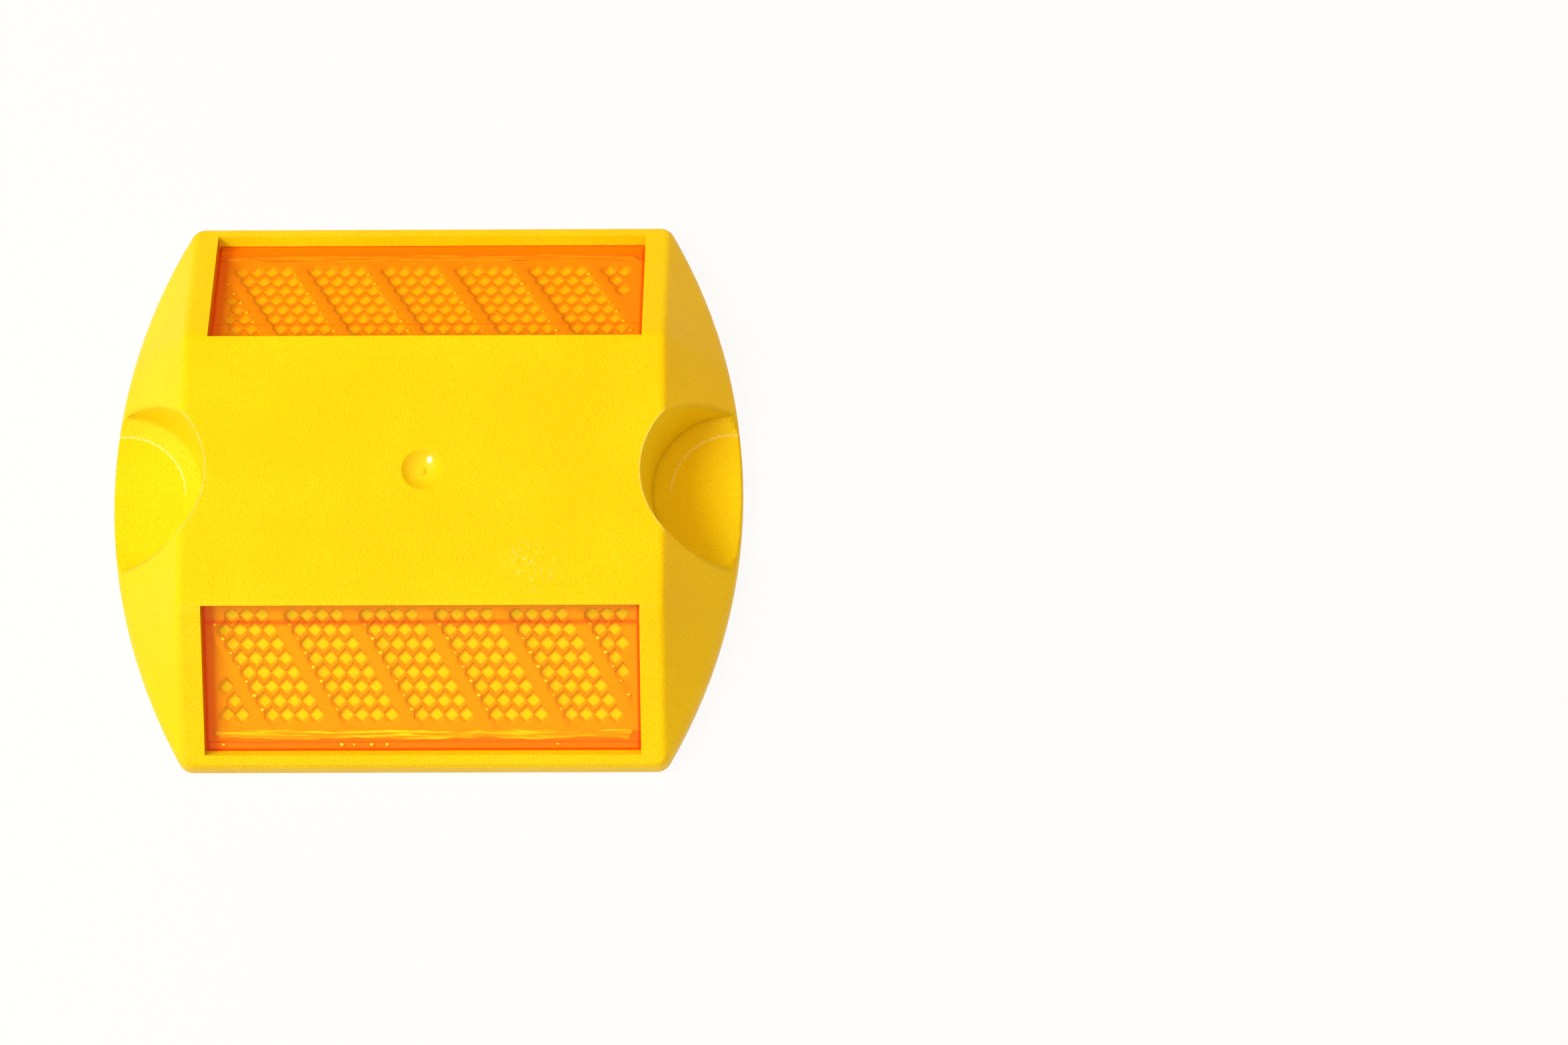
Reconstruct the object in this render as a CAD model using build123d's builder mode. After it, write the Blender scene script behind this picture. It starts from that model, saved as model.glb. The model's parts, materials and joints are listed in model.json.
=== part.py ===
"""Raised road stud: a one-piece cored body with a prismatic lens welded into each sloping face.

The origin is the middle of the underside. +X runs from end to end, +Z is up, and the two lens
faces look along -Y and +Y. Sizes are in millimetres and angles in degrees.
"""

import os
from math import acos, atan2, cos, degrees, radians, sin, sqrt, tan

from build123d import *

os.makedirs("parts", exist_ok=True)

# Body, outer form
length = 102.0  # across the two rounded ends
depth = 91.0  # across the two lens faces
height = 18.0
skirt_height = 3.6  # upright wall round the base
crease_span = 77.4  # between the creases where the end faces begin
top_depth = 45.3  # flat top between the two lens slopes
corner_radius = 2.5  # corners of the plan
crease_radius = 1.5
bend_radius = 4.0  # between the flat top and a lens slope
edge_break = 0.7  # bevel along the top of the skirt, below the corner that it takes off
edge_lean = 22.0  # bevel from upright
edge_inset = 1.2

# Finger scoops, one in each end
scoop_inset = 1.7  # from the end of the body to the scoop's upright axis
scoop_top_radius = 14.3
scoop_shoulder_radius = 13.0  # foot of the steep wall
scoop_shoulder_height = 4.4
scoop_floor_radius = 9.75
scoop_floor_height = 3.5

# Gate dimple in the middle of the top
dimple_diameter = 6.7
dimple_depth = 1.2

# Lens pockets, one in each slope
opening_width = 70.0
opening_height = 25.0  # down the slope from the edge of the flat top
lens_recess = 1.9  # lens face below the slope
ledge_side = 1.2  # ledge that the lens rim is welded to
ledge_top = 1.2
ledge_foot = 3.2
septum_width = 0.8  # weld rib under each plain strip of the lens
prism_gap = 0.3  # air round the prisms

# Lens
lens_clearance = 0.15  # round the lens in its pocket
lens_thickness = 1.4  # without the prisms
bevel_width = 2.6  # bevel along the upper edge of the lens face
bevel_drop = 0.45
prism_sides = 6
prism_pitch = 2.4  # across the flats of one prism
prism_tilt = 29.0  # prism axis from the lens normal, towards the horizon
prism_height = 1.6  # prism tips behind the plate
prism_rows = 8
prisms_per_cell = 4  # in a row, between two plain strips
cell_count = 5  # whole cells in a row
prism_border = 1.5  # plain border at each side of the opening
first_row = 1.5  # first row of tips below the upper edge of the opening
strip_shift = 0.9  # plain strips to the left of an even spacing

# Coring from below
skin = 3.0  # body left above and beside the slots
pocket_wall = 2.0  # body left under a lens pocket and past its ends
pocket_side_wall = 1.2  # body left beside a lens pocket
slot_width = 3.0
slot_length = 8.0
long_slot_length = 18.8
slot_sides = 12  # facets round the two ends of a slot
slot_pitch = 5.93  # between neighbouring slots of a group
row_pitch = 12.0
half_rows = 3  # rows of slots on each side of the middle
middle_columns = 5
wing_columns = 5  # in the group on each side
wing_start = 18.26  # first column of a side group

# Underside
rim_width = 1.9  # smooth rim that stands on the road
field_depth = 0.45  # keyed field inside the rim
recess_margin = 1.7  # middle recess round its slots
recess_depth = 1.2
recess_corner = 1.8

# Reach of a cutting block beyond the body that it cuts
overrun = 2.0

# Outer form worked out
half_length = length / 2
half_depth = depth / 2
half_top = top_depth / 2
half_crease = crease_span / 2
slope = atan2(height - skirt_height, half_depth - half_top)
end_rise = half_length - half_crease
end_radius = (end_rise**2 + half_depth**2) / (2 * end_rise)
bend_tangent = bend_radius * tan(slope / 2)
bend_start = half_top - bend_tangent
bend_end = half_top + bend_tangent * cos(slope)
edge_start = skirt_height - edge_break
edge_rise = edge_inset / tan(radians(edge_lean))
dimple_radius = (dimple_diameter**2 / 4 + dimple_depth**2) / (2 * dimple_depth)

# Lens and pocket worked out, on planes with +X along the slope and +Y up it
front_slope, rear_slope = [
    Plane((0, side * half_top, height), (-side, 0, 0), (0, side * sin(slope), cos(slope)))
    for side in (-1, 1)
]
seat_depth = lens_recess + lens_thickness
tip_depth = seat_depth + prism_height
pocket_depth = tip_depth + prism_gap
cavity_height = opening_height - ledge_top - ledge_foot
cavity_middle = -ledge_top - cavity_height / 2
cube_edge_angle = degrees(acos(1 / sqrt(3)))  # cube edge from the axis through its corner
prism_turn = 180 / prism_sides  # sets the flats of neighbours in a row against each other
prism_radius = prism_pitch / 2 / cos(radians(prism_turn))
prism_row_pitch = prism_pitch * cos(radians(prism_turn)) / cos(radians(prism_tilt))
prism_reach = 2 * (prism_height + lens_thickness)
prism_field_width = opening_width - 2 * prism_border
rack_tooth = [
    (0, 0),
    (prism_pitch / 2, -prism_pitch / 2),
    (prism_pitch / 2, -2 * prism_reach),
    (-prism_pitch / 2, -2 * prism_reach),
    (-prism_pitch / 2, -prism_pitch / 2),
]
columns_per_cell = prisms_per_cell + 1
strip_lean = degrees(atan2(prism_pitch / 2, prism_row_pitch))
middle_row = (prism_rows - 1) / 2
tip_shift = prism_height * tan(radians(prism_tilt))
septum_middle = -first_row - middle_row * prism_row_pitch - tip_shift / 2

# Places on the underside
middle_slots = [slot_pitch * (number - (middle_columns - 1) / 2) for number in range(middle_columns)]
wing_slots = [wing_start + slot_pitch * number for number in range(wing_columns)]
inner_row, wide_row, outer_row = [row_pitch * (number + 1 / 2) for number in range(half_rows)]
wing_row_end = wide_row + slot_length / 2
recess_width = (middle_columns - 1) * slot_pitch + slot_width + 2 * recess_margin
recess_length = row_pitch + slot_length + 2 * recess_margin


def both_sides(columns: list[float]) -> list[float]:
    """The columns given and their mirror images about the middle."""
    return [side * column for side in (-1, 1) for column in columns]


def both_rows(columns: list[float], row: float) -> list[tuple[float, float]]:
    """Places in a row and in its mirror image about the middle."""
    return [(column, side * row) for side in (-1, 1) for column in columns]


# The long slots stop short of the scoops, and an ejector pin takes one place in each outer row
long_slot_places = [(column, 0) for column in both_sides(wing_slots[:3])]
outer_slots = middle_slots + both_sides(wing_slots[:2] + wing_slots[3:4])
short_slot_places = (
    both_rows(middle_slots, inner_row)
    + both_rows(middle_slots + both_sides(wing_slots), wide_row)
    + both_rows(outer_slots, outer_row)
)


def top_line(y: float) -> float:
    """Height of the lengthwise profile at a distance y from the middle."""
    across = abs(y)
    if across <= bend_start:
        return height
    if across >= bend_end:
        return height - (across - half_top) * tan(slope)
    return height - bend_radius + sqrt(bend_radius**2 - (across - bend_start) ** 2)


def end_line(y: float) -> float:
    """Half length of the plan at a distance y from the middle."""
    return half_length - end_radius + sqrt(end_radius**2 - y**2)


def end_steepness(y: float) -> float:
    """Fall of an end face from its crease to the top of the skirt, per unit of length."""
    return (top_line(y) - skirt_height) / (end_line(y) - half_crease)


def core_outline(plane: Plane, half_flat: float, angle: float) -> Sketch:
    """Outline that is one skin inside a flat top and the slopes at its two edges."""
    core_top = half_flat - skin * tan(angle / 2)
    core_foot = half_flat + (height - skin / cos(angle)) / tan(angle)
    with BuildSketch(plane) as outline:
        with BuildLine():
            Polyline(
                (-core_foot, 0), (-core_top, height - skin),
                (core_top, height - skin), (core_foot, 0),
                close=True,
            )
        make_face()
    return outline.sketch


def scoop_outline(place: float, wall: float) -> Sketch:
    """Half of a finger scoop beside its axis, grown by a wall for the keep-out round it."""
    flare = (scoop_top_radius - scoop_shoulder_radius) / (height - scoop_shoulder_height)
    with BuildSketch(Plane((place, 0, 0), (1, 0, 0), (0, -1, 0))) as outline:
        with BuildLine():
            Polyline(
                (0, scoop_floor_height - wall),
                (scoop_floor_radius + wall, scoop_floor_height - wall),
                (scoop_shoulder_radius + wall, scoop_shoulder_height - wall),
                (scoop_top_radius + wall + flare * overrun, height + overrun),
                (0, height + overrun),
                close=True,
            )
        make_face()
    return outline.sketch


def slot_outline(overall: float) -> Sketch:
    """A round-ended slot along Y, centred on the origin."""
    between_ends = overall - slot_width
    with BuildSketch() as outline:
        Rectangle(slot_width, between_ends)
        with Locations((0, between_ends / 2), (0, -between_ends / 2)):
            RegularPolygon(slot_width / 2, slot_sides, major_radius=False, rotation=180 / slot_sides)
    return outline.sketch


def leaning(angle: float) -> Vector:
    """Direction in the front lens at an angle from its normal, up the slope."""
    return front_slope.z_dir * cos(radians(angle)) + front_slope.y_dir * sin(radians(angle))


def strip_place(number: int, row: float) -> float:
    """Place across the lens of one of its plain strips, at a row counted down the slope."""
    spread = (number - cell_count / 2) * columns_per_cell * prism_pitch
    return spread + (row - middle_row) * prism_pitch / 2 - strip_shift


def prism_places(row: int) -> list[float]:
    """Places across the lens of the prisms in a row, with every plain strip left out."""
    columns = range(-columns_per_cell, columns_per_cell * (cell_count + 1))
    filled = [column for column in columns if column % columns_per_cell]
    places = [strip_place(0, row) + column * prism_pitch for column in filled]
    return [place for place in places if abs(place) + prism_pitch / 2 < prism_field_width / 2]


with BuildSketch() as plan:
    with BuildLine():
        front_edge = Line((-half_crease, -half_depth), (half_crease, -half_depth))
        right_end = ThreePointArc(front_edge @ 1, (half_length, 0), (half_crease, half_depth))
        rear_edge = Line(right_end @ 1, (-half_crease, half_depth))
        ThreePointArc(rear_edge @ 1, (-half_length, 0), front_edge @ 0)
    make_face()
    fillet(plan.vertices(), corner_radius)

# The faces above the skirt, lofted over the front slope, bend, top, bend and rear slope
far_station = half_depth + overrun
stations = [-far_station, -bend_end, -bend_start, bend_start, bend_end, far_station]
roof_reach = half_length + overrun
roof_foot = -2 * height

with BuildPart() as roof:
    for span_start, span_end in zip(stations, stations[1:]):
        for station in (span_start, (span_start + span_end) / 2, span_end):
            crease_height = top_line(station)
            reach_height = crease_height - end_steepness(station) * (roof_reach - half_crease)
            with BuildSketch(Plane.XZ.offset(-station)) as section:
                with BuildLine():
                    Polyline(
                        (-roof_reach, roof_foot), (-roof_reach, reach_height),
                        (-half_crease, crease_height), (half_crease, crease_height),
                        (roof_reach, reach_height), (roof_reach, roof_foot),
                        close=True,
                    )
                make_face()
                fillet(section.vertices().sort_by(Axis.Y)[-2:], crease_radius)
        loft()

# The block that the slots are cut to, clear of the outer skin, the lens pockets and the scoops
scoop_places = [half_length - scoop_inset, scoop_inset - half_length]

with BuildPart() as core:
    extrude(core_outline(Plane.YZ, half_top, slope), amount=half_length, both=True)
    crosswise = core_outline(Plane.XZ, half_crease, atan2(end_steepness(wing_row_end), 1))
    extrude(crosswise, amount=half_depth, both=True, mode=Mode.INTERSECT)
    with BuildSketch(front_slope, rear_slope):
        with Locations((0, -opening_height / 2)):
            Rectangle(opening_width + 2 * pocket_side_wall, opening_height + 2 * pocket_wall)
    extrude(amount=-pocket_depth - pocket_wall, mode=Mode.SUBTRACT)
    for place in scoop_places:
        revolve(scoop_outline(place, skin), Axis((place, 0, 0), (0, 0, 1)), mode=Mode.SUBTRACT)

with BuildPart() as slots:
    with BuildSketch():
        with Locations(*short_slot_places):
            add(slot_outline(slot_length))
        with Locations(*long_slot_places):
            add(slot_outline(long_slot_length))
    extrude(amount=height)
    add(core.part, mode=Mode.INTERSECT)

with BuildPart() as body:
    extrude(plan.sketch, amount=edge_start)
    extrude(body.faces().sort_by(Axis.Z)[-1], amount=edge_rise, taper=edge_lean)
    extrude(body.faces().sort_by(Axis.Z)[-1], amount=height - edge_start - edge_rise)
    add(roof.part, mode=Mode.INTERSECT)
    for place in scoop_places:
        revolve(scoop_outline(place, 0), Axis((place, 0, 0), (0, 0, 1)), mode=Mode.SUBTRACT)
    with Locations((0, 0, height - dimple_depth + dimple_radius)):
        Sphere(dimple_radius, mode=Mode.SUBTRACT)

    with BuildSketch(front_slope, rear_slope):
        with Locations((0, -opening_height / 2)):
            Rectangle(opening_width, opening_height)
    extrude(amount=-seat_depth, mode=Mode.SUBTRACT)
    with BuildSketch(front_slope.offset(-seat_depth), rear_slope.offset(-seat_depth)):
        with Locations((0, cavity_middle)):
            Rectangle(opening_width - 2 * ledge_side, cavity_height)
        for number in range(cell_count + 1):
            with Locations((strip_place(number, middle_row), septum_middle)):
                Rectangle(septum_width, 2 * opening_height, rotation=strip_lean, mode=Mode.SUBTRACT)
    extrude(amount=seat_depth - pocket_depth, mode=Mode.SUBTRACT)

    with BuildSketch():
        add(plan.sketch)
        offset(amount=-rim_width)
    extrude(amount=field_depth, mode=Mode.SUBTRACT)
    with BuildSketch():
        RectangleRounded(recess_width, recess_length, recess_corner)
    extrude(amount=recess_depth, mode=Mode.SUBTRACT)
    add(slots.part, mode=Mode.SUBTRACT)

# Rows of cube corners. In each row a right-angled rack runs along one cube edge and ends square,
# and the hexagonal outline of the prisms cuts it off along their common axis.
prism_blocks = []
for row in range(prism_rows):
    tip = front_slope.from_local_coords((0, -first_row - row * prism_row_pitch, -tip_depth))
    places = [(place, 0) for place in prism_places(row)]
    with BuildPart() as prism_row:
        with BuildSketch(Plane(tip, front_slope.x_dir, leaning(-prism_tilt))):
            with Locations(*places):
                RegularPolygon(prism_radius, prism_sides, rotation=prism_turn)
        extrude(amount=prism_reach)
        with BuildSketch(Plane(tip, front_slope.x_dir, leaning(cube_edge_angle - prism_tilt))):
            with Locations(*places):
                Polygon(*rack_tooth, align=None)
        extrude(amount=prism_reach, mode=Mode.INTERSECT)
        with BuildSketch(front_slope.offset(-lens_recess - lens_thickness / 2)):
            with Locations((0, cavity_middle)):
                Rectangle(prism_field_width, cavity_height - 2 * prism_gap)
        extrude(amount=-prism_height - lens_thickness / 2, mode=Mode.INTERSECT)
    prism_blocks.append(prism_row.part)

with BuildPart() as lens_front:
    with BuildSketch(front_slope.offset(-lens_recess)):
        with Locations((0, -opening_height / 2)):
            Rectangle(opening_width - 2 * lens_clearance, opening_height - 2 * lens_clearance)
    extrude(amount=-lens_thickness)
    lens_face = lens_front.faces().sort_by(Axis(front_slope.origin, front_slope.z_dir))[-1]
    upper_edge = lens_face.edges().sort_by(Axis.Z)[-1]
    chamfer(upper_edge, bevel_width, bevel_drop, reference=lens_face)
    add(prism_blocks)

with BuildPart() as lens_rear:
    add(lens_front.part.rotate(Axis.Z, 180))

body.part.label = "body"
export_step(body.part, "parts/body.step")
lens_front.part.label = "lens_front"
export_step(lens_front.part, "parts/lens_front.step")
lens_rear.part.label = "lens_rear"
export_step(lens_rear.part, "parts/lens_rear.step")
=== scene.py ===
"""Looks of a raised road stud: satin yellow body, amber prism lenses and a keyed underside.

Lengths are in millimetres in the sizes of each class and in metres in Blender. +X runs from end to
end of the stud, +Z is up, and the lens faces look along -Y and +Y.
"""

import json
import logging
from dataclasses import dataclass
from enum import Enum
from math import atan2, cos, hypot, pi, radians, sin, sqrt
from typing import Any, Iterator, Sequence, Union

import bmesh
import bpy
from bmesh.types import BMesh, BMVert
from bpy.types import Material, NodeSocket, NodeTree, Object
from mathutils import Matrix, Vector

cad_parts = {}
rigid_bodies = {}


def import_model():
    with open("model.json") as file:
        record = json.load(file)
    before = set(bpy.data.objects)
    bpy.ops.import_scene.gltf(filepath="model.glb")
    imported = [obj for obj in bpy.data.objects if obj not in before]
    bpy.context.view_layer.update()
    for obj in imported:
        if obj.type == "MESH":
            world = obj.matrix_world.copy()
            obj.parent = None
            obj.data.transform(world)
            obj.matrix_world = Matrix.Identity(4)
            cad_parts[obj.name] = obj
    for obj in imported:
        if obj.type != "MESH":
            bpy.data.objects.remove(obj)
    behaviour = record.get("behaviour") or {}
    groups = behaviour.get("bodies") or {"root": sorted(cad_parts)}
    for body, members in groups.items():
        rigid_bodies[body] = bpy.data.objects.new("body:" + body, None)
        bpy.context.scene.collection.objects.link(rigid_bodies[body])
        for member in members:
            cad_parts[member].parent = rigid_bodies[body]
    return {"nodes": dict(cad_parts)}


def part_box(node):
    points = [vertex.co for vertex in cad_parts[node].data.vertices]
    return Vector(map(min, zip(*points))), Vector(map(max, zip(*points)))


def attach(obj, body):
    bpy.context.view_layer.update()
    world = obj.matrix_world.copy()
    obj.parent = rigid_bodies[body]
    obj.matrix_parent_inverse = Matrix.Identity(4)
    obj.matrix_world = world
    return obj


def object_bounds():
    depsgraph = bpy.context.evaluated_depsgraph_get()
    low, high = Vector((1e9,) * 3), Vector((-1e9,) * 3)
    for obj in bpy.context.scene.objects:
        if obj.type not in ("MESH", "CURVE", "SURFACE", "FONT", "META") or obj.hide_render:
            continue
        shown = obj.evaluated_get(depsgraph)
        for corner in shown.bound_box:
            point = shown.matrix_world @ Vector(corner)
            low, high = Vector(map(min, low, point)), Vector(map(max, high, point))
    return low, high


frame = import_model()
for spare in [piece for piece in bpy.data.objects if piece.name in ("Cube", "Light", "Camera")]:
    bpy.data.objects.remove(spare)
cad_low, cad_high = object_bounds()

log = logging.getLogger("road_stud")

MM = 0.001
ROOT = "root"
NOISE_MEAN = 0.5

Colour = tuple[float, float, float, float]
Point = tuple[float, float]
# Values at which a mask is 0 and 1.
Range = tuple[float, float]
# Size of the largest features in millimetres, and number of finer layers on top.
Noise = tuple[float, float]
Triple = tuple[float, float, float]
# Size, rate and shift of each sine wave.
Waves = tuple[Triple, ...]
Operand = Union["Signal", float]


class Slot(Enum):
    """Material slots of the record."""

    HOUSING = "housing_yellow"
    LENS = "lens_amber"


class Side(Enum):
    """Lens faces, with the sign of their place along Y."""

    FRONT = -1
    REAR = 1


class Signal:
    """A value, colour or vector on its way through shader nodes, for use in expressions."""

    def __init__(self, graph: "Graph", socket: NodeSocket) -> None:
        """Wraps an output socket of a node in the graph."""
        self.graph = graph
        self.socket = socket

    def __add__(self, other: Operand) -> "Signal":
        """Sum of two values."""
        return self.graph.maths("ADD", self, other)

    def __radd__(self, other: Operand) -> "Signal":
        """Sum with a number on the left."""
        return self.graph.maths("ADD", other, self)

    def __sub__(self, other: Operand) -> "Signal":
        """Difference of two values."""
        return self.graph.maths("SUBTRACT", self, other)

    def __rsub__(self, other: Operand) -> "Signal":
        """Difference from a number on the left."""
        return self.graph.maths("SUBTRACT", other, self)

    def __mul__(self, other: Operand) -> "Signal":
        """Product of two values."""
        return self.graph.maths("MULTIPLY", self, other)

    def __rmul__(self, other: Operand) -> "Signal":
        """Product with a number on the left."""
        return self.graph.maths("MULTIPLY", other, self)

    def __or__(self, other: Operand) -> "Signal":
        """The larger of two masks."""
        return self.graph.maths("MAXIMUM", self, other)

    def __ror__(self, other: Operand) -> "Signal":
        """The larger of a number on the left and a mask."""
        return self.graph.maths("MAXIMUM", other, self)

    def __abs__(self) -> "Signal":
        """Size of the value without its sign."""
        return self.graph.maths("ABSOLUTE", self, 0.0)

    def between(self, start: float, end: float) -> "Signal":
        """Smooth step of this value.

        Args:
            start: Value at which the step is 0.
            end: Value at which the step is 1, above or below the start.

        Returns:
            The step, from 0 to 1.
        """
        rising = end > start
        limits = {"From Min": min(start, end), "From Max": max(start, end)}
        results = {"To Min": 0.0 if rising else 1.0, "To Max": 1.0 if rising else 0.0}
        settings = {"interpolation_type": "SMOOTHSTEP"}
        return self.graph.node("MapRange", settings, {"Value": self, **limits, **results})


class Graph:
    """Shader nodes of one material or world."""

    def __init__(self, tree: NodeTree) -> None:
        """Clears the node tree for a new graph."""
        self.tree = tree
        self.tree.nodes.clear()

    def node(
        self,
        kind: str,
        settings: dict[str, Any] | None = None,
        inputs: dict[str | int, Any] | None = None,
        output: str | int = 0,
    ) -> Signal:
        """Adds one node.

        Args:
            kind: Blender's type name of the node, without its prefix.
            settings: Properties of the node, set before its sockets.
            inputs: Values or signals for its input sockets, by name or number.
            output: Output socket to return.

        Returns:
            The signal of that output.
        """
        node = self.tree.nodes.new(f"ShaderNode{kind}")
        for name, value in (settings or {}).items():
            setattr(node, name, value)
        for name, value in (inputs or {}).items():
            if isinstance(value, Signal):
                self.tree.links.new(value.socket, node.inputs[name])
            else:
                node.inputs[name].default_value = value
        return Signal(self, node.outputs[output] if node.outputs else None)

    def maths(self, operation: str, first: Operand, second: Operand) -> Signal:
        """Adds a Math node with two values or numbers."""
        return self.node("Math", {"operation": operation}, {0: first, 1: second})

    def mix(self, factor: Operand, start: Signal | Colour, end: Signal | Colour) -> Signal:
        """Mixes two colours, with the factor as the share of the second one."""
        sockets = {0: factor, 6: start, 7: end}
        return self.node("Mix", {"data_type": "RGBA"}, sockets, output=2)

    def turn(self, factor: Operand, start: Signal, end: Signal) -> Signal:
        """Mixes two vectors, with the factor as the share of the second one."""
        sockets = {0: factor, 4: start, 5: end}
        return self.node("Mix", {"data_type": "VECTOR"}, sockets, output=1)

    def dot(self, first: Signal, second: Signal) -> Signal:
        """Dot product of two vectors."""
        settings = {"operation": "DOT_PRODUCT"}
        return self.node("VectorMath", settings, {0: first, 1: second}, "Value")

    def noise(self, place: Signal, size: float, detail: float) -> Signal:
        """Noise of about 0.5, with its largest size in millimetres and a number of finer layers."""
        inputs = {"Vector": place, "Scale": 1 / size, "Detail": detail}
        return self.node("TexNoise", None, inputs)

    def bevel(self, radius: float, samples: int) -> Signal:
        """Normal of the surface with its edges rounded to a radius in millimetres."""
        return self.node("Bevel", {"samples": samples}, {"Radius": radius * MM})

    def bump(self, height: Signal, **normal: Signal) -> Signal:
        """Normal with a relief in millimetres, on the surface's own normal or on the one given."""
        return self.node("Bump", None, {"Strength": 1.0, "Distance": MM, "Height": height, **normal})

    def place(self) -> Signal:
        """Place on the object in millimetres."""
        inputs = {"Vector": self.node("TexCoord", None, None, "Object"), "Scale": 1 / MM}
        return self.node("VectorMath", {"operation": "SCALE"}, inputs)

    def show(self, shader: Signal) -> None:
        """Makes a shader the surface of the material."""
        self.node("OutputMaterial", None, {"Surface": shader})

    def axes(self, place: Signal) -> tuple[Signal, Signal, Signal]:
        """The three coordinates of a place."""
        node = self.node("SeparateXYZ", None, {"Vector": place}).socket.node
        return tuple(Signal(self, socket) for socket in node.outputs)

    def facing(self) -> Signal:
        """Normal of the flat face itself."""
        return self.node("NewGeometry", None, None, "True Normal")

    def seen(self) -> Signal:
        """Finds the rays that show a background.

        Returns:
            The mask of rays from the camera, a reflection or a clear piece.
        """
        node = self.node("LightPath").socket.node
        rays = ("Is Camera Ray", "Is Glossy Ray", "Is Transmission Ray")
        camera, glossy, clear = (Signal(self, node.outputs[ray]) for ray in rays)
        return camera | glossy | clear


def new_material(name: str) -> tuple[Material, Graph]:
    """Starts a node material.

    Args:
        name: Name of the material.

    Returns:
        The material and its empty graph.
    """
    material = bpy.data.materials.new(name)
    material.use_nodes = True
    return material, Graph(material.node_tree)


class Spot:
    """Place on the body as its shader sees it.

    Its spread and reach are the squares of its distances from the middle of the body and from the
    middle of the nearer finger scoop. Above is the mask of all that is higher than the skirt.
    """

    def __init__(self, graph: Graph, scoop_centre: float, skirt_levels: Range) -> None:
        """Finds the place and the normal of its face.

        Args:
            graph: Shader graph of the body.
            scoop_centre: Distance of the scoops from the middle of the body.
            skirt_levels: Heights between which the skirt ends.
        """
        self.graph = graph
        self.place = graph.place()
        self.x, self.y, self.z = graph.axes(self.place)
        self.facing = graph.axes(graph.facing())
        self.spread = self.x * self.x + self.y * self.y
        inward = abs(self.x) - scoop_centre
        self.reach = inward * inward + self.y * self.y
        self.above = self.z.between(*skirt_levels)


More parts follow.
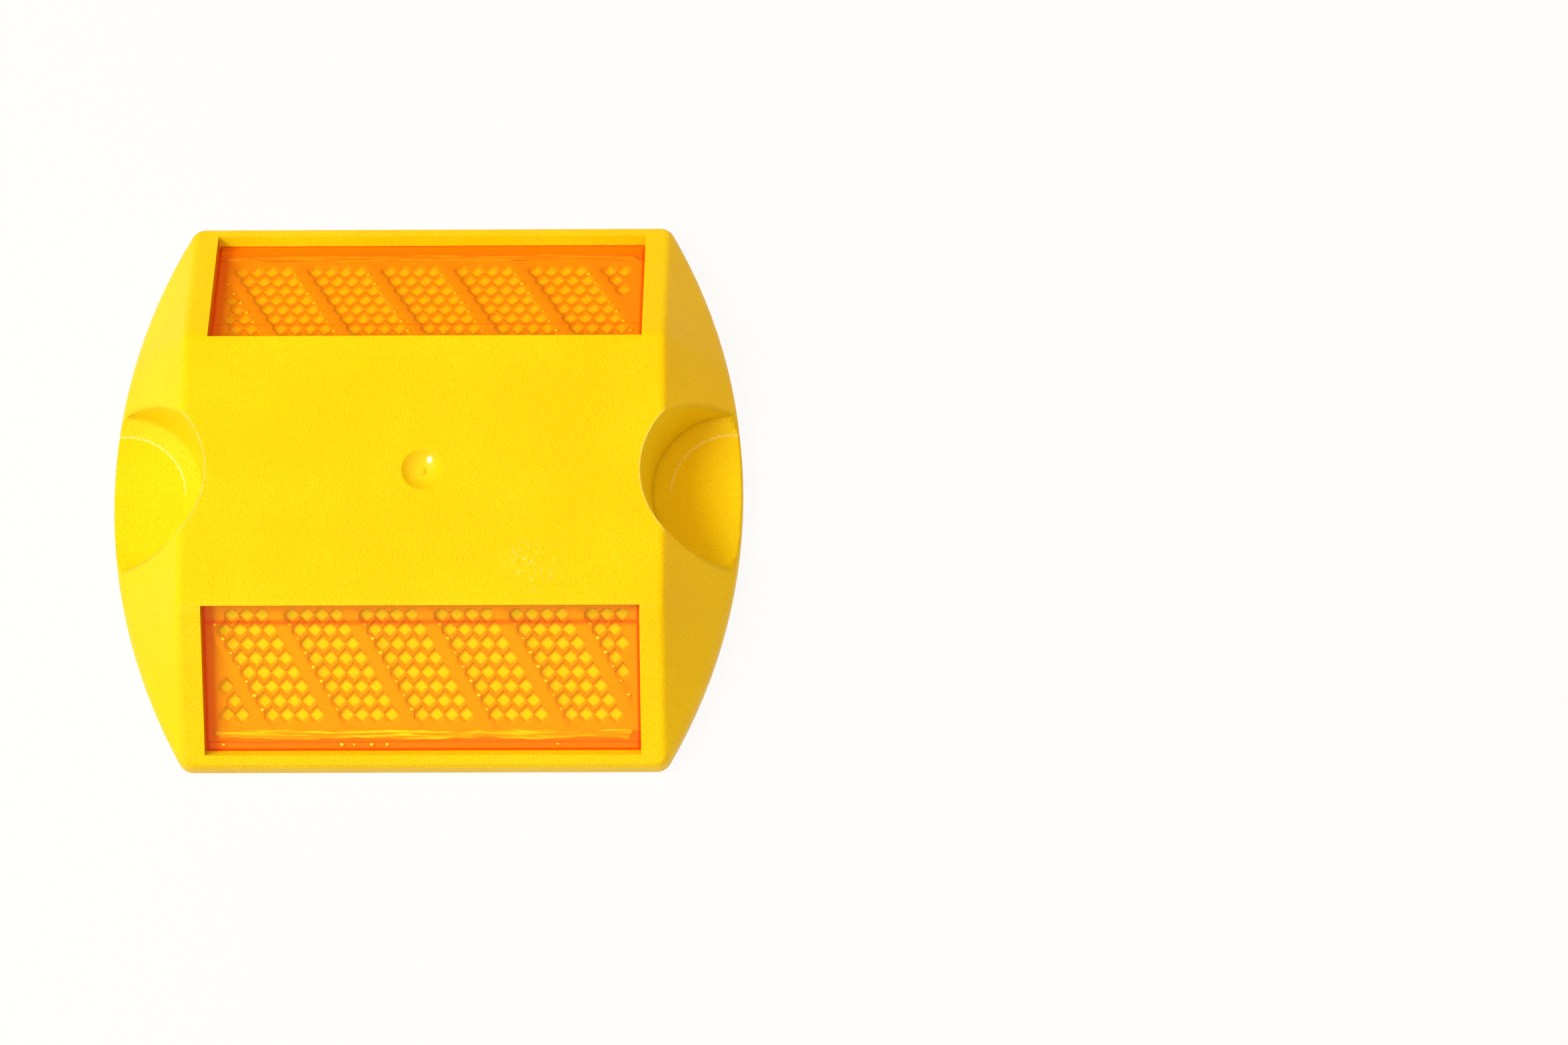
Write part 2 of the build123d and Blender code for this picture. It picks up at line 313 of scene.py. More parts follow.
@dataclass(frozen=True)
class MouldedPlastic:
    """Satin moulded plastic with a fine grain, polished in the gate dimple, with painted glint lines in
    the scoops and painted shade beside the lenses.
    """

    name: str = "housing_plastic"
    colour: Colour = (0.90, 0.715, 0.003, 1.0)
    pale_colour: Colour = (0.91, 0.765, 0.006, 1.0)
    grain_colour: Colour = (0.86, 0.63, 0.002, 1.0)
    speck_colour: Colour = (0.25, 0.12, 0.01, 1.0)
    # Painted shade: deep orange for the side walls of the lens openings.
    wall_shade_colour: Colour = (0.72, 0.22, 0.002, 1.0)
    # Pale colour of the real scuffs on the top, also painted on the scoop lines as glints.
    scuff_and_glint_colour: Colour = (0.97, 0.88, 0.35, 1.0)
    roughness: float = 0.42
    roughness_spread: float = 0.12
    polish: float = 0.2
    specular: float = 0.1
    coat_roughness: float = 0.12
    scatter: float = 0.12
    scatter_radius: Triple = (1.6, 0.7, 0.1)
    cloud: Noise = (18.0, 3.0)
    cloud_range: Range = (0.35, 0.7)
    grain: Noise = (0.33, 2.0)
    grain_range: Range = (0.55, 0.3)
    grain_share: float = 0.6
    grain_height: float = 0.14
    ripple: Noise = (6.0, 1.0)
    ripple_height: float = 0.02
    bevel_samples: int = 4
    edge_radius: float = 0.45
    crisp_radius: float = 0.12
    crisp_x: Range = (36.0, 35.5)
    crisp_y: Range = (20.0, 20.5)
    hollow_radius: float = 2.0
    hollow_start: Range = (10.6, 11.1)
    hollow_end: Range = (14.25, 13.95)
    hollow_levels: Range = (17.4, 16.9)
    # Place, fade and facing of the painted shade on the side walls of the lens openings.
    wall_shade_place: float = 35.0
    wall_shade_range: Range = (0.08, 0.04)
    wall_shade_facing: Range = (0.9, 0.95)
    speck_size: float = 3.4
    speck_range: Range = (0.03, 0.015)
    dimple_radius: float = 3.3
    dimple_core: float = 3.1
    dimple_levels: Range = (16.0, 16.2)
    dimple_dish: float = 0.02
    dimple_coat: float = 0.7
    top_levels: Range = (17.4, 17.7)
    skirt_levels: Range = (2.0, 3.0)
    scoop_x: Range = (38.0, 39.0)
    scoop_y: Range = (12.0, 11.0)
    scoop_centre: float = 49.3
    scoop_floor: float = 9.9
    scoop_rim: float = 14.45
    line_width: float = 0.3
    line_height: float = 0.03
    line_levels: Range = (16.0, 8.0)
    line_y: Range = (-1.0, 2.0)
    line_facing: Range = (0.2, 0.4)
    line_range: Range = (0.38, 0.52)
    # Share of the painted glint on the scoop lines.
    line_glint: float = 0.85
    rim_share: float = 0.5
    scuff: Noise = (0.8, 3.0)
    scuff_place: Point = (17.8, -16.0)
    scuff_radius: float = 5.0
    scuff_core: float = 1.0
    scuff_range: Range = (0.55, 0.68)
    scuff_share: float = 0.45

    def line(self, reach: Signal, radius: float) -> Signal:
        """Mask of a thin round line, from the square of the distance from its middle."""
        return abs(reach - radius**2).between(2 * radius * self.line_width, 0.0)

    def scoop_lines(self, spot: Spot) -> tuple[Signal, Signal]:
        """Finds the lines of the finger scoops, which are also painted pale as glints.

        Args:
            spot: Place on the body.

        Returns:
            The masks of the line on the floor of each scoop, and of its rim in the flat top.
        """
        floor = self.line(spot.reach, self.scoop_floor) * spot.z.between(*self.line_levels) * spot.above
        # The floor line keeps to the rear half and to faces that are not steep, where its painted glint
        # falls.
        floor = floor * spot.facing[2].between(*self.line_facing) * spot.y.between(*self.line_y)
        return floor, self.line(spot.reach, self.scoop_rim) * spot.z.between(*self.top_levels)

    def marks(self, spot: Spot) -> tuple[Signal, Signal, Signal]:
        """Finds the small marks on the body.

        Args:
            spot: Place on the body.

        Returns:
            The masks of the specks in the scoops, the scuffs on the top and the painted shade on the side
            walls of the lens openings.
        """
        cells = {"Vector": spot.place, "Scale": 1 / self.speck_size}
        specks = spot.graph.node("TexVoronoi", None, cells, "Distance")
        scoop = spot.above * abs(spot.x).between(*self.scoop_x) * abs(spot.y).between(*self.scoop_y)
        across, along = spot.x - self.scuff_place[0], spot.y - self.scuff_place[1]
        scuffs = (across * across + along * along).between(self.scuff_radius**2, self.scuff_core)
        scuffs = scuffs * spot.graph.noise(spot.place, *self.scuff).between(*self.scuff_range)
        # Painted shade: the walls that face along X at the sides of the lens openings are darkened.
        wall_shade = abs(abs(spot.x) - self.wall_shade_place).between(*self.wall_shade_range)
        wall_shade = wall_shade * abs(spot.facing[0]).between(*self.wall_shade_facing)
        return (
            specks.between(*self.speck_range) * scoop,
            scuffs * spot.z.between(*self.top_levels),
            wall_shade * abs(spot.y).between(*self.crisp_y),
        )

    def edges(self, spot: Spot) -> Signal:
        """Rounds the edges: crisp at the lens openings, wide in the scoops and soft elsewhere.

        Args:
            spot: Place on the body.

        Returns:
            The normal of the rounded body.
        """
        graph = spot.graph
        hollow = spot.reach.between(*(radius**2 for radius in self.hollow_start))
        hollow = hollow * spot.reach.between(*(radius**2 for radius in self.hollow_end))
        hollow = hollow * spot.above * spot.z.between(*self.hollow_levels)
        crisp = abs(spot.x).between(*self.crisp_x) * abs(spot.y).between(*self.crisp_y)
        radii = (self.edge_radius, self.crisp_radius, self.hollow_radius)
        soft_edges, crisp_edges, wide_edges = (graph.bevel(radius, self.bevel_samples) for radius in radii)
        return graph.turn(hollow, graph.turn(crisp, soft_edges, crisp_edges), wide_edges)

    def material(self) -> Material:
        """Builds the node material.

        Returns:
            The material of the body.
        """
        material, graph = new_material(self.name)
        spot = Spot(graph, self.scoop_centre, self.skirt_levels)
        dimple = spot.spread.between(self.dimple_radius**2, self.dimple_core**2)
        dimple = dimple * spot.z.between(*self.dimple_levels)
        floor_line, rim_line = self.scoop_lines(spot)
        specks, scuffs, wall_shade = self.marks(spot)
        noises = (self.cloud, self.grain, self.ripple)
        cloud, grain, ripple = (graph.noise(spot.place, *noise) for noise in noises)
        tone = graph.mix(cloud.between(*self.cloud_range), self.colour, self.pale_colour)
        tone = graph.mix(grain.between(*self.grain_range) * self.grain_share, tone, self.grain_colour)
        tone = graph.mix(specks, tone, self.speck_colour)
        # Painted glint: the floor lines and, more weakly, the rim lines of the scoops are painted pale;
        # the scuffs on the top are real wear.
        glint_lines = (floor_line | rim_line * self.rim_share) * grain.between(*self.line_range) * self.line_glint
        tone = graph.mix(glint_lines | scuffs * self.scuff_share, tone, self.scuff_and_glint_colour)
        # Painted shade on the side walls of the lens openings.
        tone = graph.mix(wall_shade, tone, self.wall_shade_colour)
        texture = grain - NOISE_MEAN
        relief = texture * self.grain_height * (1 - dimple) + ripple * self.ripple_height
        relief = relief + (floor_line + rim_line * self.rim_share) * self.line_height
        relief = relief + (spot.spread - self.dimple_radius**2) * self.dimple_dish * dimple
        satin = self.roughness + texture * self.roughness_spread
        shader = graph.node(
            "BsdfPrincipled",
            {"subsurface_method": "RANDOM_WALK"},
            {
                "Base Color": tone,
                "Roughness": satin + (self.polish - satin) * (dimple | floor_line | rim_line),
                "Specular IOR Level": self.specular,
                "Coat Weight": dimple * self.dimple_coat,
                "Coat Roughness": self.coat_roughness,
                "Subsurface Weight": self.scatter,
                "Subsurface Radius": self.scatter_radius,
                "Subsurface Scale": MM,
                "Normal": graph.bump(relief, Normal=self.edges(spot)),
            },
        )
        graph.show(shader)
        return material


@dataclass(frozen=True)
class LensSeat:
    """Place of a lens in its sloping face."""

    top_depth: float = 45.3
    skirt_height: float = 3.6
    recess: float = 1.9
    thickness: float = 1.4
    opening_width: float = 70.0
    opening_height: float = 25.0
    ledge_side: float = 1.2
    ledge_top: float = 1.2
    ledge_foot: float = 3.2

    @property
    def slope(self) -> float:
        """Angle of the sloping face, in radians."""
        return atan2(cad_high.z / MM - self.skirt_height, cad_high.y / MM - self.top_depth / 2)

    def chart(self, graph: Graph, place: Signal) -> tuple[Signal, Signal]:
        """Finds shader coordinates in the sloping faces.

        Args:
            graph: Shader graph that needs them.
            place: Place on the lens in millimetres.

        Returns:
            Distance down the slope from the edge of the flat top, and depth below the face.
        """
        y, z = graph.axes(place)[1:]
        fall = cad_high.z / MM - z
        out = abs(y) - self.top_depth / 2
        down = out * cos(self.slope) + fall * sin(self.slope)
        depth = fall * cos(self.slope) - out * sin(self.slope)
        return down, depth

    def point(self, side: Side, across: float, down: float, depth: float) -> Vector:
        """Finds a point by its place in the sloping face.

        Args:
            side: Which of the two faces.
            across: Distance to the right, seen from in front of that face.
            down: Distance down the slope from the edge of the flat top.
            depth: Distance below the face.

        Returns:
            The point in millimetres.
        """
        level = self.top_depth / 2 + down * cos(self.slope) - depth * sin(self.slope)
        rise = cad_high.z / MM - down * sin(self.slope) - depth * cos(self.slope)
        return Vector((-side.value * across, side.value * level, rise))


@dataclass(frozen=True)
class MeltedSeam:
    """Plastic of the body that has melted into the foot of a lens, with streaks along it; in paler colours
    it also finishes the painted sparkles and pips on the lenses.
    """

    name: str
    colour: Colour
    pale_colour: Colour
    roughness: float = 0.25
    streak: Triple = (0.12, 3.2, 3.2)
    streak_noise: Noise = (1.0, 2.0)
    streak_range: Range = (0.47, 0.62)
    streak_height: float = 0.1

    def material(self) -> Material:
        """Builds the node material.

        Returns:
            The material, paler on the streaks.
        """
        material, graph = new_material(self.name)
        stretch = {0: graph.place(), 1: self.streak}
        place = graph.node("VectorMath", {"operation": "MULTIPLY"}, stretch)
        streaks = graph.noise(place, *self.streak_noise)
        tone = graph.mix(streaks.between(*self.streak_range), self.colour, self.pale_colour)
        surface = graph.bump(streaks * self.streak_height)
        finish = {"Base Color": tone, "Roughness": self.roughness, "Normal": surface}
        shader = graph.node("BsdfPrincipled", None, finish)
        graph.show(shader)
        return material


@dataclass(frozen=True)
class TintedAcrylic:
    """Clear amber acrylic of a lens, with a frosted back."""

    name: str
    face_colour: Colour = (1.0, 0.88, 0.02, 1.0)
    back_colour: Colour = (1.0, 0.40, 0.001, 1.0)
    # Painted light: paler colour of the level prism facets, for the light that the prisms send back.
    lit_prism_colour: Colour = (1.0, 0.85, 0.17, 1.0)
    # Deeper colour of the weld along the foot, and of the painted shade down the left side of the lens.
    frame_colour: Colour = (1.0, 0.2, 0.0005, 1.0)
    rim_colour: Colour = (0.9, 0.1, 0.0002, 1.0)
    # Colour of a darker band across the face, a little below its top edge.
    dark_band_colour: Colour = (1.0, 0.19, 0.0008, 1.0)
    light_colour: Colour = (1.0, 1.0, 0.35, 1.0)
    roughness: float = 0.03
    facet_roughness: float = 0.25
    plain_roughness: float = 0.5
    facet_frost: float = 0.55
    plain_frost: float = 0.75
    index: float = 1.49
    specular: float = 0.15
    edge_radius: float = 0.4
    edge_samples: int = 4
    facet_radius: float = 0.75
    facet_samples: int = 6
    facet_range: Range = (0.90, 0.998)
    facet_level: Range = (0.93, 0.97)
    back_fade: float = 0.1
    ripple: Noise = (5.0, 1.0)
    ripple_height: float = 0.004
    dark_band_place: float = 3.3
    dark_band_width: float = 1.8
    rim_width: float = 0.4
    # Width and fade of the painted shade down the left side; the foot fade is for the weld.
    left_shade_width: float = 2.0
    weld_foot_fade: Range = (-0.1, 0.3)
    left_shade_fade: Range = (0.4, -0.8)
    flow_colour: Colour = (0.8, 0.12, 0.0002, 1.0)
    flow_place: float = 23.6
    flow_width: Range = (0.2, 0.08)
    flow: Noise = (9.0, 2.0)
    flow_wave: float = 0.7

    def tones(self, graph: Graph, seat: LensSeat, place: Signal, lit_facet: Signal) -> tuple[Signal, Signal]:
        """Colours the lens, with a dark band and deeper rims in front, and behind the weld along the foot,
        painted shade down the left side, paler lit prism facets and a flow line.

        Args:
            graph: Shader graph of the lens.
            seat: Place of the lenses.
            place: Place on the lens in millimetres.
            lit_facet: Mask of the middle of the level prism facets, which are painted paler as the light
                that the prisms send back.

        Returns:
            The colours of the front and of the back.
        """
        x = graph.axes(place)[0]
        down = seat.chart(graph, place)[0]
        half, foot = seat.opening_width / 2, seat.opening_height
        rim = abs(x).between(half - 2 * self.rim_width, half - self.rim_width)
        rim = rim | down.between(foot - 2 * self.rim_width, foot - self.rim_width)
        # A darker band across the face, a little below its top edge.
        dark_band = abs(down - self.dark_band_place).between(self.dark_band_width / 2, 0.0)
        # The weld along the foot, joined by painted shade down the left side, where the wall shades the
        # lens.
        weld = down.between(*(foot - seat.ledge_foot + margin for margin in self.weld_foot_fade))
        weld = weld | x.between(*(self.left_shade_width - half + margin for margin in self.left_shade_fade))
        wave = (graph.noise(place, *self.flow) - NOISE_MEAN) * self.flow_wave
        flow = abs(down - self.flow_place + wave).between(*self.flow_width)
        face = graph.mix(dark_band, self.face_colour, self.dark_band_colour)
        # Painted light: the level prism facets are paler, palest in their middles.
        back = graph.mix(lit_facet, self.back_colour, self.lit_prism_colour)
        back = graph.mix(weld, back, self.frame_colour)
        return graph.mix(rim, face, self.rim_colour), graph.mix(flow, back, self.flow_colour)

    def material(self, seat: LensSeat) -> Material:
        """Builds the node material.

        Args:
            seat: Place of the lenses.

        Returns:
            The material, with a frosted back that is painted palest on the level prism facets, for the
            light that the prisms send back.
        """
        material, graph = new_material(self.name)
        place = graph.place()
        depth = seat.chart(graph, place)[1]
        middle = seat.recess + seat.thickness / 2
        behind = depth.between(middle - self.back_fade, middle + self.back_fade)
        facing = graph.facing()
        # Mask of the level prism facets, palest in their middles, for their painted light.
        level = abs(graph.axes(facing)[2]).between(*self.facet_level)
        flatness = abs(graph.dot(facing, graph.bevel(self.facet_radius, self.facet_samples)))
        lit_facet = level * flatness.between(*self.facet_range)
        face, back = self.tones(graph, seat, place, lit_facet)
        matt = self.plain_roughness + (self.facet_roughness - self.plain_roughness) * level
        frost = self.plain_frost + (self.facet_frost - self.plain_frost) * level
        ripple = graph.noise(place, *self.ripple)
        edges = graph.bevel(self.edge_radius, self.edge_samples)
        surface = graph.bump(ripple * self.ripple_height, Normal=edges)
        shader = graph.node(
            "BsdfPrincipled",
            None,
            {
                "Base Color": graph.mix(behind, face, back),
                "Roughness": self.roughness + (matt - self.roughness) * behind,
                "IOR": self.index,
                "Specular IOR Level": self.specular,
                "Transmission Weight": 1.0,
                "Normal": surface,
            },
        )
        haze = graph.node("BsdfDiffuse", None, {"Color": back, "Normal": surface})
        shader = graph.node("MixShader", None, {0: frost * behind, 1: shader, 2: haze})
        passing = graph.node("BsdfTransparent", None, {"Color": self.light_colour})
        for ray in ("Is Shadow Ray", "Is Diffuse Ray"):
            share = graph.node("LightPath", None, None, ray)
            shader = graph.node("MixShader", None, {0: share, 1: shader, 2: passing})
        graph.show(shader)
        return material


def waves(place: float, parts: Waves, lag: float = 1.0) -> float:
    """Sum of sine waves at a place, with a factor for their shifts."""
    return sum(size * sin(place * rate + shift * lag) for size, rate, shift in parts)


def skin(
    mesh: BMesh,
    rings: Sequence[Sequence[BMVert]],
    closed: bool = True,
    looped: bool = False,
    smooth: bool = True,
) -> None:
    """Joins rows of vertices with four-sided faces.

    Args:
        mesh: Mesh that the vertices are in.
        rings: Rows of vertices, all of the same count.
        closed: Whether each row runs back to its first vertex.
        looped: Whether the last row joins the first one.
        smooth: Whether the faces are shaded smoothly.
    """
    for number in range(len(rings) if looped else len(rings) - 1):
        ring = rings[number]
        following = rings[(number + 1) % len(rings)]
        for corner in range(len(ring) if closed else len(ring) - 1):
            beside = (corner + 1) % len(ring)
            face = mesh.faces.new((ring[corner], ring[beside], following[beside], following[corner]))
            face.smooth = smooth


def mesh_object(name: str, mesh: BMesh, material: Material, slot: Slot) -> None:
    """Turns a mesh in millimetres into a piece that rides on the stud.

    Args:
        name: Name of the piece.
        mesh: Mesh in millimetres, freed here.
        material: Finish of the piece.
        slot: Material slot of the record that it takes its finish from; not used.
    """
    bmesh.ops.recalc_face_normals(mesh, faces=mesh.faces[:])
    bmesh.ops.scale(mesh, vec=(MM, MM, MM), verts=mesh.verts[:])
    data = bpy.data.meshes.new(name)
    mesh.to_mesh(data)
    mesh.free()
    data.materials.append(material)
    piece = bpy.data.objects.new(name, data)
    bpy.context.scene.collection.objects.link(piece)
    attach(piece, ROOT)
    log.info("%s built", name)


@dataclass
class Housing:
    """Moulded body with the mark of its gate."""

    node: str = "body"
    plastic: MouldedPlastic = MouldedPlastic()
    dimple_depth: float = 1.2
    gate_radius: float = 0.62
    gate_height: float = 0.18
    gate_sink: float = 0.2
    gate_dent: float = 0.05
    gate_sides: int = 20
    gate_shares: tuple[float, ...] = (1.0, 0.9, 0.6, 0.25)
    gate_waves: Waves = ((0.06, 2.0, 1.0),)

    def dress(self) -> Material:
        """Gives the body its finish.

        Returns:
            The finish, for the other mouldings of the body.
        """
        material = self.plastic.material()
        frame["nodes"][self.node].material_slots[0].material = material
        log.info("%s dressed", self.node)
        return material

    def gate(self, material: Material) -> None:
        """Builds the broken-off stub of the gate in the dimple.

        Args:
            material: Finish of the body that it is part of.
        """
        foot = cad_high.z / MM - self.dimple_depth - self.gate_sink
        crown = foot + self.gate_sink + self.gate_height
        levels = (foot, crown - self.gate_height / 4, crown, crown - self.gate_dent)
        mesh = bmesh.new()
        rings = []
        for share, z in zip(self.gate_shares, levels):
            ring = []
            for number in range(self.gate_sides):
                angle = 2 * pi * number / self.gate_sides
                reach = self.gate_radius * share * (1 + waves(angle, self.gate_waves, z))
                ring.append(mesh.verts.new((reach * cos(angle), reach * sin(angle), z)))
            rings.append(ring)
        skin(mesh, rings)
        mesh.faces.new(rings[0][::-1])
        mesh.faces.new(rings[-1])
        mesh_object("gate_stub", mesh, material, Slot.HOUSING)


@dataclass
class KeyedUnderside:
    """Chevron ribs and slot lips in the sunk field of the underside."""

    crease_span: float = 77.4
    rim_width: float = 1.9
    field_depth: float = 0.45
    rib_pitch: float = 1.2
    rib_width: float = 0.72
    rib_height: float = 0.38
    rib_sink: float = 0.05
    rib_shoulder: Point = (0.7, 0.25)
    lip_width: float = 0.5
    lip_gap: float = 0.04
    lip_height: float = 0.342
    lip_round: float = 0.05
    lip_crest: float = 0.35
    lip_facets: int = 24
    slot_width: float = 3.0
    slot_length: float = 8.0
    long_slot_length: float = 18.8
    slot_pitch: float = 5.93
    row_pitch: float = 12.0
    wing_start: float = 18.26
    pin_radius: float = 3.85
    pin_inset: float = 0.7
    small_pin_place: Point = (21.2, 12.0)
    small_pin_radius: float = 2.3
    recess_half_width: float = 15.06
    recess_half_length: float = 11.7
    sample_step: float = 0.2

    def __post_init__(self) -> None:
        """Works out the plan of the underside from the frame."""
        low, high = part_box("body")
        self.half_length = (high.x - low.x) / 2 / MM
        self.half_depth = (high.y - low.y) / 2 / MM
        rise = self.half_length - self.crease_span / 2
        self.end_radius = (rise**2 + self.half_depth**2) / (2 * rise)
        middle = [self.slot_pitch * number for number in range(3)]
        wing = [self.wing_start + self.slot_pitch * number for number in range(5)]
        wide, outer = 1.5 * self.row_pitch, 2.5 * self.row_pitch
        self.slots = [(x, 0.0, self.long_slot_length) for x in wing[:3]]
        self.slots += [(x, wide, self.slot_length) for x in middle + wing]
        self.slots += [(x, outer, self.slot_length) for x in middle + wing[:2] + wing[3:4]]
        self.pins = [
            (wing[2], outer, self.pin_radius),
            (wing[3] + self.slot_pitch / 2 - self.pin_inset, 0.0, self.pin_radius),
            (*self.small_pin_place, self.small_pin_radius),
        ]

    def clear(self, x: float, y: float) -> bool:
        """Tells whether a rib may stand at a place in the first quadrant.

        Args:
            x: Place along the stud, from the middle.
            y: Place across it, from the middle.

        Returns:
            True inside the field and clear of slots, pins and the middle recess.
        """
        if y > self.half_depth - self.rim_width:
            return False
        if hypot(x - self.half_length + self.end_radius, y) > self.end_radius - self.rim_width:
            return False
        if x < self.recess_half_width and y < self.recess_half_length:
            return False
        reach = (self.slot_width + self.lip_width) / 2
        for slot_x, slot_y, overall in self.slots:
            beyond = max(abs(y - slot_y) - (overall - self.slot_width) / 2, 0.0)
            if hypot(x - slot_x, beyond) < reach:
                return False
        return all(hypot(x - pin_x, y - pin_y) > radius for pin_x, pin_y, radius in self.pins)

    def runs(self, offset: float) -> Iterator[tuple[float, float]]:
        """Finds the stretches of one chevron arm that are clear.

        Args:
            offset: Distance of the chevron's point from the middle, along X if positive, else Y.

        Yields:
            Start and end of each stretch, as the advance along both axes.
        """
        start = None
        steps = int(self.half_length / self.sample_step)
        for step in range(steps):
            advance = step * self.sample_step
            is_clear = self.clear(max(offset, 0.0) + advance, max(-offset, 0.0) + advance)
            if is_clear and start is None:
                start = advance
            elif not is_clear and start is not None:
                if advance - start > self.rib_width:
                    yield start, advance
                start = None

    def rib(self, mesh: BMesh, offset: float, run: tuple[float, float], mirror: Point) -> None:
        """Adds one rib.

        Args:
            mesh: Mesh in millimetres to add to.
            offset: Distance of the chevron's point from the middle.
            run: Start and end of the rib.
            mirror: Signs of the quadrant.
        """
        foot = self.field_depth + self.rib_sink
        crown = self.field_depth - self.rib_height
        half = self.rib_width / 2
        inset = half * self.rib_shoulder[0]
        shoulder = crown + self.rib_height * self.rib_shoulder[1]
        profile = [(-half, foot), (-inset, shoulder), (0.0, crown), (inset, shoulder), (half, foot)]
        rings = []
        for advance in run:
            ring = []
            for across, z in profile:
                slant = across / sqrt(2)
                mitre = 0.0
                if advance == 0.0:
                    mitre = slant if offset > 0 else -slant
                x = max(offset, 0.0) + advance + mitre + slant
                y = max(-offset, 0.0) + advance + mitre - slant
                ring.append(mesh.verts.new((x * mirror[0], y * mirror[1], z)))
            rings.append(ring)
        skin(mesh, rings, smooth=False)
        mesh.faces.new(rings[0])
        mesh.faces.new(rings[1][::-1])

    def lip(self, mesh: BMesh, centre: Point, radius: float, between: float) -> None:
        """Adds the raised edge round a slot.

        Args:
            mesh: Mesh in millimetres to add to.
            centre: Middle of the slot.
            radius: Radius of its round ends.
            between: Distance between the centres of its two ends.
        """
        foot = self.field_depth + self.rib_sink
        crown = self.field_depth - self.lip_height
        profile = [
            (self.lip_gap, foot),
            (self.lip_gap, crown + self.lip_round),
            (self.lip_width * self.lip_crest, crown),
            (self.lip_width, foot),
        ]
        rings = []
        for number in range(self.lip_facets):
            angle = 2 * pi * (number + 0.5) / self.lip_facets
            end = between / 2 if sin(angle) > 0 else -between / 2
            ring = []
            for out, z in profile:
                x = centre[0] + (radius + out) * cos(angle)
                y = centre[1] + end + (radius + out) * sin(angle)
                ring.append(mesh.verts.new((x, y, z)))
            rings.append(ring)
        skin(mesh, rings, looped=True, smooth=False)

    def build(self, material: Material) -> None:
        """Builds the ribs and lips.

        Args:
            material: Finish of the body that they are part of.
        """
        ribs = bmesh.new()
        step = self.rib_pitch * sqrt(2)
        count = int(self.half_length / step)
        for number in range(-count, count + 1):
            offset = (number + 0.5) * step
            for run in self.runs(offset):
                for mirror in ((1, 1), (-1, 1), (-1, -1), (1, -1)):
                    self.rib(ribs, offset, run, mirror)
        mesh_object("underside_ribs", ribs, material, Slot.HOUSING)
        lips = bmesh.new()
        for x, y, overall in self.slots:
            for side_x in (-1, 1) if x else (1,):
                for side_y in (-1, 1) if y else (1,):
                    centre = (x * side_x, y * side_y)
                    self.lip(lips, centre, self.slot_width / 2, overall - self.slot_width)
        mesh_object("slot_lips", lips, material, Slot.HOUSING)


